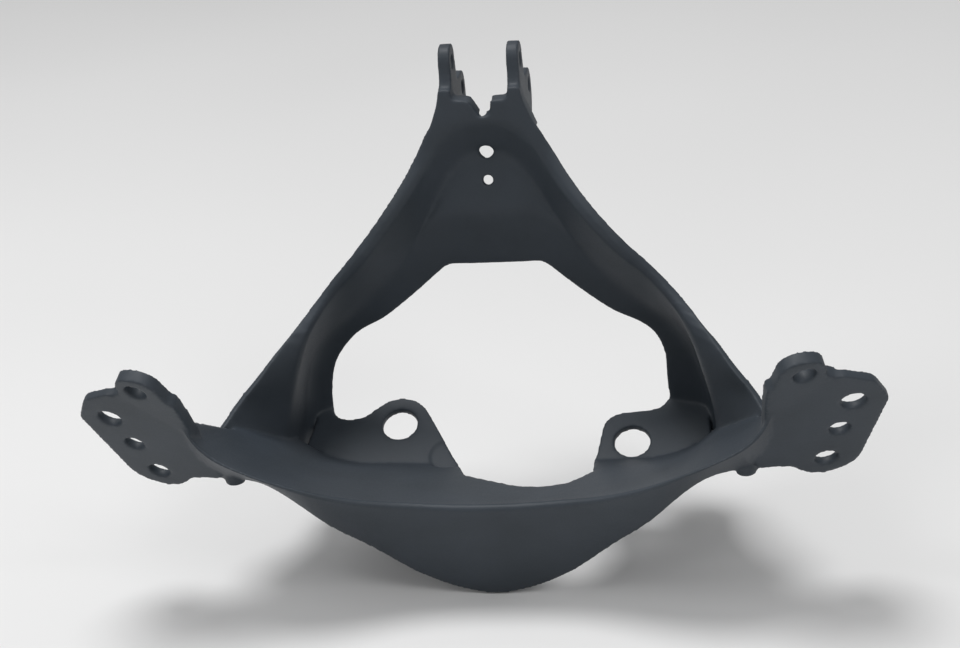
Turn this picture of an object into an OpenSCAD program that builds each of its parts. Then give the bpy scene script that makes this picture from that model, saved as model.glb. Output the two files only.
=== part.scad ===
/* [Casting] */
// Thickness of the cast walls
wall = 4; // [3.5:0.5:5]
// Radius of the rolled bead along the lip of the crosspiece
lip_r = 3; // [2.5:0.5:3.5]
// Drop of the chin below the lip, on the centre line
chin_drop = 59; // [54:1:64]

/* [Head fork] */
// Gap between the two cheeks
fork_gap = 28; // [26:1:30]
// Thickness of each cheek
cheek_t = 6.5; // [5.5:0.5:8]
// Diameter of the two head bolt holes
head_bolt_d = 7; // [6:0.5:8]
// How far the lower head bolt lies behind the upper one
bolt_step_back = 25; // [23:0.5:26]
// How far the lower head bolt lies below the upper one
bolt_step_down = 21; // [20:0.5:22.5]

/* [Gauge lugs] */
// Diameter of the grommet hole in each gauge lug
grommet_d = 18.5; // [16:0.5:19.5]
// Width of metal around a grommet hole
lug_rim = 7.5; // [6.5:0.5:8]
// Thickness of the gauge lugs
lug_t = 4.5; // [4:0.5:6]

/* [Mirror wings] */
// Distance from the centre line to the middle hole of a wing
wing_x = 172; // [166:1:178]
// Thickness of the wing plates
wing_t = 5; // [4:0.5:6]
// Diameter of the outer mirror hole
outer_hole_d = 12; // [10:0.5:13]
// Diameter of the middle hole
middle_hole_d = 10; // [8:0.5:12]
// Diameter of the inner mirror hole
inner_hole_d = 11; // [9:0.5:12]
// Diameter of the hole in the ear
ear_hole_d = 11; // [9:0.5:12]
// Angle by which the ear is bent forward out of the wing plate
ear_bend = 5; // [2:1:8]

/* [Small features] */
// Diameter of the upper hole in the top shelf
shelf_hole_d = 7.4; // [6:0.2:8]
// Diameter of the lower hole in the top shelf
pin_hole_d = 5.4; // [4:0.2:6]
// Diameter of the boss under each neck
boss_d = 10; // [9:0.5:11]
// Diameter of the hole up the middle of each boss
boss_hole_d = 5; // [4:0.5:6]

/* [Hidden] */
finish = "#2b2f33";
through = 60;

// The layout's Z is zero below the chin; the part's origin is the upper head bolt's axis.
head_y = 53;
head_z = 272;

// Sections of the cast ring from the top centre down the right-hand limb. Each row runs
// inwards: rim outside, rim inside, foot of the wall, inner edge of the shelf, opening.
limb = [
    [[0, 38, 247], [0, 37.5, 245.5], [0, 46, 225], [0, 40, 197], [0, 46, 165]],
    [[17, 38, 250], [12, 37.5, 243.7], [9, 46, 223.5], [12, 40, 197], [13, 46, 165]],
    [[26.5, 38, 243], [23, 37, 236], [19, 45, 216], [24, 40, 197], [24, 46, 165]],
    [[34, 38.5, 230], [31, 36, 223], [26, 43, 205], [32, 40, 190], [31, 46, 160]],
    [[42, 34, 217], [38, 31, 212], [35, 41, 190], [41, 40, 179], [39, 46, 153]],
    [[54, 28, 201], [49, 25, 198], [47, 39, 173], [51, 41, 164], [50, 46, 144]],
    [[68, 26, 184], [63, 23, 181], [62, 39, 157], [64, 42, 149], [61, 46, 136]],
    [[83, 28, 167], [78, 25, 166], [79, 39, 143], [78, 43, 139], [73, 46, 130]],
    [[97, 25, 151], [90, 22, 151], [92, 39, 131], [87, 43, 130], [81, 46, 123]],
    [[110, 10, 137], [98, 17, 137], [102, 38, 114], [95, 43, 117], [87, 46, 112]],
    [[121, -4, 124], [104, 12, 119], [107, 37, 96], [101, 43, 102], [89, 46, 98]],
    [[131, -13, 114], [109, 8, 102], [109, 35, 80], [104, 43, 84], [90, 46, 82]],
    [[138, -26, 106], [112, 5, 86], [109, 31, 64], [103, 41, 66], [89, 44, 66]]
];
limb_steps = 3;
corner_cut = 2.2;
// The opening lies a little to the left of the centre line, and further so low down.
opening_left = 1.5;
opening_left_low = 3.5;

// The crosspiece, from the centre line out to the right-hand neck.
lip_line = [[0, -64, 82], [20, -64, 82.5], [40, -66, 85], [60, -72, 90], [80, -79, 98],
    [100, -83, 107], [115, -83, 113], [128, -80, 119], [137, -78, 128], [142, -77, 140]];
deck_back = [[0, 17, 65], [20, 17, 65], [40, 17, 65.5], [60, 17, 66], [78, 18, 66],
    [96, 20, 70], [110, 18, 82], [122, 2, 94], [132, -20, 106], [138, -40, 118]];
chin_line = [[0, -46, 23], [20, -46, 27], [40, -47, 36.5], [60, -49, 51.5], [80, -54, 67],
    [98, -56, 84], [112, -51, 90], [128, -47, 91], [138, -44, 90], [148, -42, 90]];
cross_steps = 3;
lip_proud = 0.5;
chin_z = 82;
neck_inner_x = 60;
neck_outer_x = 140;
// The lines above are drawn for these values of wing_x and chin_drop.
drawn_wing_x = 172;
drawn_chin_drop = 59;

// The lower edge of the opening, where it cuts forward into the deck between the lugs.
deck_cut = [[-27, 22, 3], [-18, -6, 6], [0, -19, 10], [11, -27, 12], [25, -31, 14],
    [37, -28, 8], [43, -18, 8], [48, -8, 6], [46, 22, 3]];

// The plane of the gauge lugs: where it leaves the deck, and its slope.
lug_y = 15;
lug_z = 66.6;
lug_slope = 31;
left_lug = [-58, 24.6];
right_lug = [66, 10.9];
lug_round = grommet_d / 2 + lug_rim;
left_lug_line = [[-100, 44, 2], [-92, 28.5, 8], [-79.4, 28.5, 12], [-53.4, 50.3, lug_round],
    [-21, -8, 1], [-100, -8, 1], [-108, 10, 1]];
right_lug_line = [[90, 44, 2], [80, 31, 8], [51.5, 27.5, 11], [46, -8, 1], [100, -8, 1],
    [108, 10, 1], [104, 38, 1]];
half_disc = [-31, 4];
half_disc_r = 9.5;
half_disc_depth = 1.2;

// The wing plates: the middle hole's place, the plate's slope and swing, and its outline.
wing_y = -58;
wing_z = 117;
wing_slope = 121;
wing_swing = 12;
outer_hole = [4.5, 22];
inner_hole = [-4, -24.5];
ear_hole = [-21, 49];
wing_line = [[21.5, 21.5, 4], [13, 37, 9], [-2, 43.5, 6], [-9, 43, 2], [-37, 8, 1],
    [-37, 0, 3], [-38, -27, 1], [-21, -29, 8], [-6, -42, 16], [12, -30, 14]];
ear_line = [[-4, 42, 1], [-11, 46, 5], [-11, 60, 9.5], [-32, 60, 10], [-35, 42.5, 2], [-38, 40, 2],
    [-37.5, 26, 10], [-36, 2, 3], [-28, 6, 1]];
ear_more = 2;
crease = [-10, 42.5];
crease_turn = 51.5;

// The front plate at the foot of the fork, right-hand half.
foot_y = 37.8;
foot_t = 10;
foot_low = [[20.5, 262, 1], [22, 254, 12], [28, 238, 1], [22, 240, 1], [12, 244.6, 1]];
right_foot_line = concat([[0.5, 246.4, 0], [4.6, 248.4, 1.5], [5.3, 255.7, 1.2], [14.2, 255.7, 3],
    [14.2, 262, 1]], foot_low);
left_foot_line = concat([[0.5, 247, 0], [5.5, 255.7, 1.2], [14.2, 256.2, 3], [14.2, 262, 1]], foot_low);

// The side view of a cheek, as Y and Z.
cheek_line = [[38, 247, 1], [38, 252, 12], [44.5, 268, 20], [45, 281, 7.5], [61.5, 281, 8],
    [62.5, 259.5, 4], [86.5, 259.5, 8], [86.5, 240, 9], [76, 226, 14], [62, 200, 16],
    [52, 178, 3], [46, 178, 1], [47, 243, 1]];
boss_x = 127;
boss_y = -46;
boss_z = 88.5;
boss_h = 12;
boss_hole_deep = 8;

// The two holes in the top shelf, and the shelf's rough place in depth.
shelf_y = 45;
shelf_hole_z = 226;
pin_hole_z = 211.5;

function unit(v) = v / norm(v);
function mix(a, b, t) = a + (b - a) * t;
function ramp(t) = t < 0 ? 0 : t > 1 ? 1 : t * t * (3 - 2 * t);
function mirror_x(p) = [-p.x, p.y, p.z];
function reversed(list) = [for (i = [len(list) - 1:-1:0]) list[i]];

// A smooth curve through four neighbours, for points or for rows of points.
function smooth(a, b, c, d, t) =
    0.5 * (2 * b + (c - a) * t + (2 * a - 5 * b + 4 * c - d) * t * t + (3 * b - a - 3 * c + d) * t * t * t);
function at(list, i) = list[min(max(i, 0), len(list) - 1)];
function through_points(list, steps) = [
    for (i = [0:len(list) - 2])
        for (k = [0:i == len(list) - 2 ? steps : steps - 1])
            smooth(at(list, i - 1), list[i], list[i + 1], at(list, i + 2), k / steps)
];

// The bend at the corner of an outline, as an arc of the radius in the point's third place.
function corner(a, b, c) =
    let (
        u = unit([a.x - b.x, a.y - b.y]),
        v = unit([c.x - b.x, c.y - b.y]),
        half = acos(max(-1, min(1, u * v))) / 2,
        reach = b.z / tan(half),
        from = [b.x, b.y] + u * reach,
        middle = [b.x, b.y] + unit(u + v) * b.z / sin(half),
        side = cross(u, v) > 0 ? 1 : -1,
        start = atan2(from.y - middle.y, from.x - middle.x),
        turn = 180 - 2 * half,
        steps = max(1, ceil(turn / 12))
    )
    b.z < 0.5 || half > 88 ? [[b.x, b.y]] :
    [for (k = [0:steps]) middle + b.z * [cos(start - side * turn * k / steps), sin(start - side * turn * k / steps)]];
function rounded(line) = [
    for (i = [0:len(line) - 1])
        each corner(line[(i + len(line) - 1) % len(line)], line[i], line[(i + 1) % len(line)])
];

// The back of a cast wall: each point of a grid set back by t square to the faces on either side.
function side_normal(a, b, along) = unit(cross(b - a, along));
function set_back(grid, t) = [
    for (i = [0:len(grid) - 1])
        let (row = grid[i], last = len(row) - 1) [
            for (j = [0:last])
                let (
                    along = at(grid, i + 1)[j] - at(grid, i - 1)[j],
                    before = side_normal(row[max(j - 1, 0)], row[max(j, 1)], along),
                    after = side_normal(row[min(j, last - 1)], row[min(j + 1, last)], along),
                    sum = before + after
                )
                row[j] - sum * 2 * t / max(sum * sum, 1.2)
        ]
];

// A closed solid between a front grid and a back grid with the same rows and columns.
module sheet(front, back) {
    rows = len(front);
    cols = len(front[0]);
    count = rows * cols;
    points = concat([for (r = front) each r], [for (r = back) each r]);
    function f(i, j) = i * cols + j;
    function b(i, j) = count + i * cols + j;
    polyhedron(points, concat(
        [for (i = [0:rows - 2]) for (j = [0:cols - 2])
            each [[f(i, j), f(i + 1, j), f(i, j + 1)], [f(i, j + 1), f(i + 1, j), f(i + 1, j + 1)]]],
        [for (i = [0:rows - 2]) for (j = [0:cols - 2])
            each [[b(i, j), b(i, j + 1), b(i + 1, j)], [b(i, j + 1), b(i + 1, j + 1), b(i + 1, j)]]],
        [for (i = [0:rows - 2])
            each [[f(i, 0), b(i, 0), f(i + 1, 0)], [f(i + 1, 0), b(i, 0), b(i + 1, 0)],
                [f(i, cols - 1), f(i + 1, cols - 1), b(i, cols - 1)],
                [f(i + 1, cols - 1), b(i + 1, cols - 1), b(i, cols - 1)]]],
        [for (j = [0:cols - 2])
            each [[f(0, j), f(0, j + 1), b(0, j)], [f(0, j + 1), b(0, j + 1), b(0, j)],
                [f(rows - 1, j), b(rows - 1, j), f(rows - 1, j + 1)],
                [f(rows - 1, j + 1), b(rows - 1, j), b(rows - 1, j + 1)]]]
    ));
}

// The section of a limb, with each inner corner cut into two points.
function cut_corners(row) = concat(
    [row[0]],
    [for (i = [1:len(row) - 2])
        let (
            before = min(corner_cut, norm(row[i] - row[i - 1]) * 0.35),
            after = min(corner_cut, norm(row[i + 1] - row[i]) * 0.35)
        )
        each [row[i] + unit(row[i - 1] - row[i]) * before, row[i] + unit(row[i + 1] - row[i]) * after]],
    [row[len(row) - 1]]
);
function shift_opening(row) =
    let (
        p = row[len(row) - 1],
        left = opening_left * ramp(abs(p.x) / 60) + opening_left_low * ramp((125 - p.z) / 25)
    )
    [for (i = [0:len(row) - 1]) i == len(row) - 1 ? p - [left, 0, 0] : row[i]];
function ring_rows() = concat(
    [for (row = reversed(limb)) shift_opening([for (p = row) mirror_x(p)])],
    [for (i = [1:len(limb) - 1]) shift_opening(limb[i])]
);

// What a change of wing_x does: the necks stretch, and the ring stays as it is.
function stretch(p) =
    p + [(wing_x - drawn_wing_x) * ramp((p.x - neck_inner_x) / (neck_outer_x - neck_inner_x)), 0, 0];
function full_width(line) =
    let (right = [for (p = line) stretch(p)])
    concat([for (p = reversed(right)) mirror_x(p)], [for (i = [1:len(right) - 1]) right[i]]);
function drop(p) = [p.x, p.y, chin_z - (chin_z - p.z) * mix(chin_drop / drawn_chin_drop, 1, ramp(p.x / 100))];

module ring() {
    front = through_points(ring_rows(), limb_steps);
    back = set_back(front, wall);
    sheet([for (row = front) cut_corners(row)], [for (row = back) cut_corners(row)]);
}

// The section of the crosspiece: deck, rolled lip and front plate, starting at the inner corner.
function cross_section(lip, back, foot) =
    let (
        u = unit(back - lip),
        v = unit(foot - lip),
        half = acos(u * v) / 2,
        inward = unit(u + v),
        up = unit(u * (u * v) - v),
        out = unit(v * (u * v) - u),
        r = lip_r * min(1, 1.6 * sin(half)),
        set_in = (r - lip_proud * r / lip_r) / sin(half),
        middle = lip + inward * set_in,
        blend = set_in * cos(half) + 1.3 * r
    )
    concat(
        [lip + inward * wall / sin(half), back - up * wall, back, lip + u * blend],
        [for (k = [0:4]) middle + r * unit(mix(up, out, k / 4))],
        [lip + v * blend, foot, foot - out * wall]
    );

module crosspiece() {
    lip = through_points(full_width(lip_line), cross_steps);
    back = through_points(full_width(deck_back), cross_steps);
    foot = through_points(full_width([for (p = chin_line) drop(p)]), cross_steps);
    last = len(lip) - 1;
    rings = [for (i = [0:last]) cross_section(lip[i], back[i], foot[i])];
    sides = len(rings[0]);
    polyhedron([for (r = rings) each r], concat(
        [for (k = [1:sides - 2]) [0, k, k + 1]],
        [for (k = [1:sides - 2]) [last * sides, last * sides + k + 1, last * sides + k]],
        [for (i = [0:last - 1]) for (k = [0:sides - 1])
            let (a = i * sides + k, b = i * sides + (k + 1) % sides)
            each [[a, a + sides, b], [b, a + sides, b + sides]]]
    ));
}

module in_lug_plane() {
    translate([0, lug_y, lug_z]) rotate([lug_slope, 0, 0]) children();
}

module lug(line) {
    in_lug_plane() translate([0, 0, -lug_t]) linear_extrude(lug_t) polygon(rounded(line));
}

module half_disc_recess() {
    in_lug_plane() translate([half_disc.x, half_disc.y, -half_disc_depth])
        cylinder(h = 12, r = half_disc_r, $fn = 48);
}

module in_wing_plane() {
    translate([wing_x, wing_y, wing_z]) rotate([wing_slope, 0, wing_swing]) children();
}

module in_ear_plane() {
    in_wing_plane() translate(crease) rotate([0, 0, crease_turn]) rotate([ear_bend, 0, 0])
        rotate([0, 0, -crease_turn]) translate(-crease) children();
}

module wing() {
    in_wing_plane() translate([0, 0, -wing_t]) linear_extrude(wing_t) polygon(rounded(wing_line));
    in_ear_plane() translate([0, 0, -wing_t - ear_more]) linear_extrude(wing_t + ear_more)
        polygon(rounded(ear_line));
}

module wing_holes() {
    in_wing_plane() {
        translate(outer_hole) cylinder(h = through, d = outer_hole_d, center = true, $fn = 48);
        cylinder(h = through, d = middle_hole_d, center = true, $fn = 48);
        translate(inner_hole) cylinder(h = through, d = inner_hole_d, center = true, $fn = 48);
    }
    in_ear_plane() translate(ear_hole) cylinder(h = through, d = ear_hole_d, center = true, $fn = 48);
}

module cheek() {
    translate([fork_gap / 2, 0, 0]) rotate([90, 0, 90]) linear_extrude(cheek_t) polygon(rounded(cheek_line));
}

module fork_foot(line) {
    translate([0, foot_y + foot_t, 0]) rotate([90, 0, 0]) linear_extrude(foot_t) polygon(rounded(line));
}

module head_bolt_holes() {
    for (k = [0, 1])
        translate([0, head_y + k * bolt_step_back, head_z - k * bolt_step_down]) rotate([0, 90, 0])
            cylinder(h = 2 * through, d = head_bolt_d, center = true, $fn = 48);
}

module opening_cut() {
    translate([0, 0, lug_z - through / 2]) linear_extrude(through) polygon(rounded(deck_cut));
}

module lug_holes() {
    in_lug_plane() for (centre = [left_lug, right_lug])
        translate(centre) cylinder(h = 2 * lug_t + 6, d = grommet_d, center = true, $fn = 64);
}

module shelf_holes() {
    for (hole = [[shelf_hole_z, shelf_hole_d], [pin_hole_z, pin_hole_d]])
        translate([0, shelf_y, hole.x]) rotate([90, 0, 0])
            cylinder(h = through / 2, d = hole.y, center = true, $fn = 32);
}

module boss() {
    translate([boss_x, boss_y, boss_z]) cylinder(h = boss_h, d = boss_d, $fn = 40);
}

module boss_hole() {
    translate([boss_x, boss_y, boss_z - 1]) cylinder(h = boss_hole_deep + 1, d = boss_hole_d, $fn = 32);
}

module both_sides() {
    children();
    mirror([1, 0, 0]) children();
}

module fairing_stay() {
    color(finish) translate([0, -head_y, -head_z]) difference() {
        union() {
            ring();
            difference() {
                crosspiece();
                opening_cut();
            }
            lug(left_lug_line);
            lug(right_lug_line);
            fork_foot(right_foot_line);
            mirror([1, 0, 0]) fork_foot(left_foot_line);
            both_sides() {
                wing();
                cheek();
                boss();
            }
        }
        head_bolt_holes();
        lug_holes();
        half_disc_recess();
        shelf_holes();
        both_sides() {
            wing_holes();
            boss_hole();
        }
    }
}

fairing_stay();
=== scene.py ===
import math

import bmesh
import bpy
import numpy as np
from mathutils import Matrix, Vector
from mathutils.kdtree import KDTree


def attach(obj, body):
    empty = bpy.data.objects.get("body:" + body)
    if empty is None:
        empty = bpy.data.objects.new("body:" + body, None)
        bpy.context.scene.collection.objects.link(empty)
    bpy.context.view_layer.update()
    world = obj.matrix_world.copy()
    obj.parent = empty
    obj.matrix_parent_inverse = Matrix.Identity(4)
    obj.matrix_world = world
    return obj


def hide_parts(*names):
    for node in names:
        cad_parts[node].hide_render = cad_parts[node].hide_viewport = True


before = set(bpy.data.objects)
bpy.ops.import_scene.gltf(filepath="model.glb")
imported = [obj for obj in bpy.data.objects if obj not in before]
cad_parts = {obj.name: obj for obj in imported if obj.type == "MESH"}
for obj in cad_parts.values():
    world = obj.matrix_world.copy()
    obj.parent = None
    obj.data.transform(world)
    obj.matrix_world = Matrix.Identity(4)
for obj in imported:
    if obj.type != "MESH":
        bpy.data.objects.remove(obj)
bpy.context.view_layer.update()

# A cast fairing stay with a satin charcoal coating, over a pale seamless floor.
# Everything is in metres, in the CAD's own frame.

# The camera, fitted to the holes in the photograph. The sensor's width and the lens are in millimetres.
AZIMUTH = math.radians(9.63)
ELEVATION = math.radians(22.96)
ROLL = math.radians(5.47)
AIM = Vector((-0.00376, -0.053, -0.12084))
DISTANCE = 1.1
SENSOR = 36.0
LENS = 82.5

# The floor lies just under the chin.
FLOOR_Z = -0.2494
FLOOR_SIZE = 8.0

WORLD_STRENGTH = 0.36
# Each lamp's name, place, diameter and watts. All of them aim where the camera does.
LAMPS = (
    ("overhead", (-0.3, 0.1, 2.1), 1.1, 31.0),
    ("right_front", (1.1, -1.3, 1.4), 0.9, 9.0),
    ("left", (-1.4, -0.7, 1.4), 0.9, 8.0),
)

# Display colours from 0 to 255. Each surface drifts slowly between its two.
COATING_COLOURS = ((46, 53, 60), (53, 60, 68))
FLOOR_COLOURS = ((222, 222, 222), (228, 228, 228))

# The casting is remeshed finely, so that its edges take the soft rounding of a mould and a coating.
VOXEL = 0.0009
TRIANGLE_LIMIT = 190000
# Edges that turn by more than this keep a small radius. Between them the facets are smoothed away.
SHARP_TURN = math.radians(24)
POINT_SPACING = 0.001
MERGE_DISTANCE = 1e-6
EDGE_STEPS = 3
FACE_STEPS = 26
EDGE_REACH = 0.0006
FACE_REACH = 0.0030
STEP_SHARE = 0.5


def srgb(r, g, b):
    """A display colour, 0 to 255, as linear values with alpha."""
    out = []
    for v in (r, g, b):
        v /= 255.0
        out.append(v / 12.92 if v <= 0.04045 else ((v + 0.055) / 1.055) ** 2.4)
    return (*out, 1.0)


def new_material(name):
    m = bpy.data.materials.new(name)
    m.use_nodes = True
    m.node_tree.nodes.clear()
    return m, m.node_tree.nodes, m.node_tree.links


def noise(nodes, links, coords, scale, detail, roughness):
    """A noise value over the object, with this many features to the metre."""
    n = nodes.new("ShaderNodeTexNoise")
    n.inputs["Scale"].default_value = scale
    n.inputs["Detail"].default_value = detail
    n.inputs["Roughness"].default_value = roughness
    links.new(coords, n.inputs["Vector"])
    return n.outputs["Fac"]


def ramp_value(nodes, links, fac, low, high):
    """A noise value stretched to run from low to high."""
    n = nodes.new("ShaderNodeMapRange")
    n.inputs["From Min"].default_value = 0.3
    n.inputs["From Max"].default_value = 0.7
    n.inputs["To Min"].default_value = low
    n.inputs["To Max"].default_value = high
    links.new(fac, n.inputs["Value"])
    return n.outputs["Result"]


def two_colours(nodes, links, fac, colours):
    """A colour that drifts between the two as the noise value does."""
    n = nodes.new("ShaderNodeMix")
    n.data_type = "RGBA"
    n.inputs["A"].default_value = srgb(*colours[0])
    n.inputs["B"].default_value = srgb(*colours[1])
    links.new(ramp_value(nodes, links, fac, 0.0, 1.0), n.inputs["Factor"])
    return n.outputs["Result"]


def bump(nodes, links, height, strength, distance):
    n = nodes.new("ShaderNodeBump")
    n.inputs["Strength"].default_value = strength
    n.inputs["Distance"].default_value = distance
    links.new(height, n.inputs["Height"])
    return n


def coating_material():
    """Satin charcoal coating over a cast skin: faint mottling, a fine pebble and a slow waviness."""
    m, nodes, links = new_material("charcoal_coating")
    out = nodes.new("ShaderNodeOutputMaterial")
    shader = nodes.new("ShaderNodeBsdfPrincipled")
    links.new(shader.outputs["BSDF"], out.inputs["Surface"])
    shader.inputs["Specular IOR Level"].default_value = 0.4
    coords = nodes.new("ShaderNodeTexCoord").outputs["Object"]

    mottle = noise(nodes, links, coords, 28.0, 4.0, 0.55)
    links.new(two_colours(nodes, links, mottle, COATING_COLOURS), shader.inputs["Base Color"])

    grain = noise(nodes, links, coords, 1400.0, 3.0, 0.6)
    links.new(ramp_value(nodes, links, grain, 0.50, 0.60), shader.inputs["Roughness"])

    waviness = noise(nodes, links, coords, 90.0, 2.0, 0.5)
    wave_bump = bump(nodes, links, waviness, 0.25, 0.0006)
    grain_bump = bump(nodes, links, grain, 0.2, 0.00012)
    links.new(wave_bump.outputs["Normal"], grain_bump.inputs["Normal"])
    links.new(grain_bump.outputs["Normal"], shader.inputs["Normal"])
    return m


def floor_material():
    """Pale seamless paper with a faint unevenness."""
    m, nodes, links = new_material("pale_floor")
    out = nodes.new("ShaderNodeOutputMaterial")
    shader = nodes.new("ShaderNodeBsdfPrincipled")
    shader.inputs["Roughness"].default_value = 0.9
    shader.inputs["Specular IOR Level"].default_value = 0.2
    links.new(shader.outputs["BSDF"], out.inputs["Surface"])
    coords = nodes.new("ShaderNodeTexCoord").outputs["Object"]
    cloud = noise(nodes, links, coords, 1.3, 2.0, 0.5)
    links.new(two_colours(nodes, links, cloud, FLOOR_COLOURS), shader.inputs["Base Color"])
    return m


def add_camera():
    """The camera at AIM plus DISTANCE, rolled about its own line of sight."""
    back = Vector((math.sin(AZIMUTH) * math.cos(ELEVATION),
                   -math.cos(AZIMUTH) * math.cos(ELEVATION),
                   math.sin(ELEVATION)))
    level_right = Vector((math.cos(AZIMUTH), math.sin(AZIMUTH), 0.0))
    level_up = back.cross(level_right)
    right = level_right * math.cos(ROLL) - level_up * math.sin(ROLL)
    up = level_right * math.sin(ROLL) + level_up * math.cos(ROLL)
    data = bpy.data.cameras.new("camera")
    data.sensor_width = SENSOR
    data.lens = LENS
    camera = bpy.data.objects.new("camera", data)
    turn = Matrix((right, up, back)).transposed().to_4x4()
    camera.matrix_world = Matrix.Translation(AIM + back * DISTANCE) @ turn
    bpy.context.scene.collection.objects.link(camera)
    bpy.context.scene.camera = camera


def add_lamp(name, place, size, watts):
    data = bpy.data.lights.new(name, "AREA")
    data.shape = "DISK"
    data.size = size
    data.energy = watts
    lamp = bpy.data.objects.new(name, data)
    lamp.location = place
    lamp.rotation_mode = "QUATERNION"
    lamp.rotation_quaternion = (AIM - Vector(place)).to_track_quat("-Z", "Y")
    bpy.context.scene.collection.objects.link(lamp)


def add_world(strength):
    world = bpy.data.worlds.new("studio")
    world.use_nodes = True
    background = world.node_tree.nodes["Background"]
    background.inputs["Color"].default_value = (1.0, 1.0, 1.0, 1.0)
    background.inputs["Strength"].default_value = strength
    bpy.context.scene.world = world


def add_floor():
    half = FLOOR_SIZE / 2
    mesh = bpy.data.meshes.new("floor")
    corners = [(x * half, y * half, FLOOR_Z) for x, y in ((-1, -1), (1, -1), (1, 1), (-1, 1))]
    mesh.from_pydata(corners, [], [(0, 1, 2, 3)])
    mesh.materials.append(floor_material())
    floor = bpy.data.objects.new("floor", mesh)
    bpy.context.scene.collection.objects.link(floor)


def evaluated_copy(source, name, modifiers):
    """A new object with the source's shape after these modifiers."""
    work = bpy.data.objects.new(name + "_work", source.data.copy())
    work.matrix_world = source.matrix_world
    bpy.context.scene.collection.objects.link(work)
    for kind, values in modifiers:
        modifier = work.modifiers.new(kind.lower(), kind)
        for key, value in values.items():
            setattr(modifier, key, value)
    graph = bpy.context.evaluated_depsgraph_get()
    mesh = bpy.data.meshes.new_from_object(work.evaluated_get(graph))
    mesh.name = name
    bpy.data.objects.remove(work)
    piece = bpy.data.objects.new(name, mesh)
    bpy.context.scene.collection.objects.link(piece)
    return piece


def triangles(mesh):
    return sum(len(p.vertices) - 2 for p in mesh.polygons)


def sharp_points(mesh):
    """Points POINT_SPACING apart along the mesh's sharp edges."""
    work = bmesh.new()
    work.from_mesh(mesh)
    bmesh.ops.remove_doubles(work, verts=work.verts, dist=MERGE_DISTANCE)
    found = []
    for edge in work.edges:
        if len(edge.link_faces) == 2 and edge.calc_face_angle(0.0) > SHARP_TURN:
            a, b = (v.co.copy() for v in edge.verts)
            steps = max(1, round((b - a).length / POINT_SPACING))
            found += [a.lerp(b, i / steps) for i in range(steps + 1)]
    work.free()
    return found


def smooth_between_edges(mesh, points):
    """Moves each vertex towards its neighbours' mean: a few steps everywhere, more away from the points."""
    tree = KDTree(len(points))
    for i, point in enumerate(points):
        tree.insert(point, i)
    tree.balance()
    count = len(mesh.vertices)
    place = np.empty(count * 3)
    mesh.vertices.foreach_get("co", place)
    place = place.reshape(count, 3)
    away = np.array([tree.find(p)[2] for p in place])
    freedom = np.clip((away - EDGE_REACH) / (FACE_REACH - EDGE_REACH), 0.0, 1.0)[:, None]
    ends = np.empty(len(mesh.edges) * 2, dtype=np.int64)
    mesh.edges.foreach_get("vertices", ends)
    a, b = ends.reshape(-1, 2).T
    near = np.concatenate((a, b))
    far = np.concatenate((b, a))
    neighbours = np.bincount(near, minlength=count)[:, None]
    for step in range(FACE_STEPS):
        sums = [np.bincount(near, weights=place[far, k], minlength=count) for k in range(3)]
        pull = STEP_SHARE if step < EDGE_STEPS else STEP_SHARE * freedom
        place += (np.stack(sums, axis=1) / neighbours - place) * pull
    mesh.vertices.foreach_set("co", place.ravel())
    mesh.update()


def cast_body():
    """The casting as it shows, in place of the CAD's solid and with the same form."""
    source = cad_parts["fairing_stay"]
    fine = evaluated_copy(source, "fine", [
        ("REMESH", {"mode": "VOXEL", "voxel_size": VOXEL, "adaptivity": 0.0}),
    ])
    smooth_between_edges(fine.data, sharp_points(source.data))
    ratio = min(1.0, TRIANGLE_LIMIT / triangles(fine.data))
    piece = evaluated_copy(fine, "fairing_stay_casting", [("DECIMATE", {"ratio": ratio})])
    bpy.data.objects.remove(fine)
    piece.data.materials.clear()
    piece.data.materials.append(coating_material())
    for polygon in piece.data.polygons:
        polygon.use_smooth = True
    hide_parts("fairing_stay")
    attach(piece, "root")


bpy.context.scene.view_settings.view_transform = "Standard"
add_camera()
add_world(WORLD_STRENGTH)
for lamp in LAMPS:
    add_lamp(*lamp)
add_floor()
cast_body()
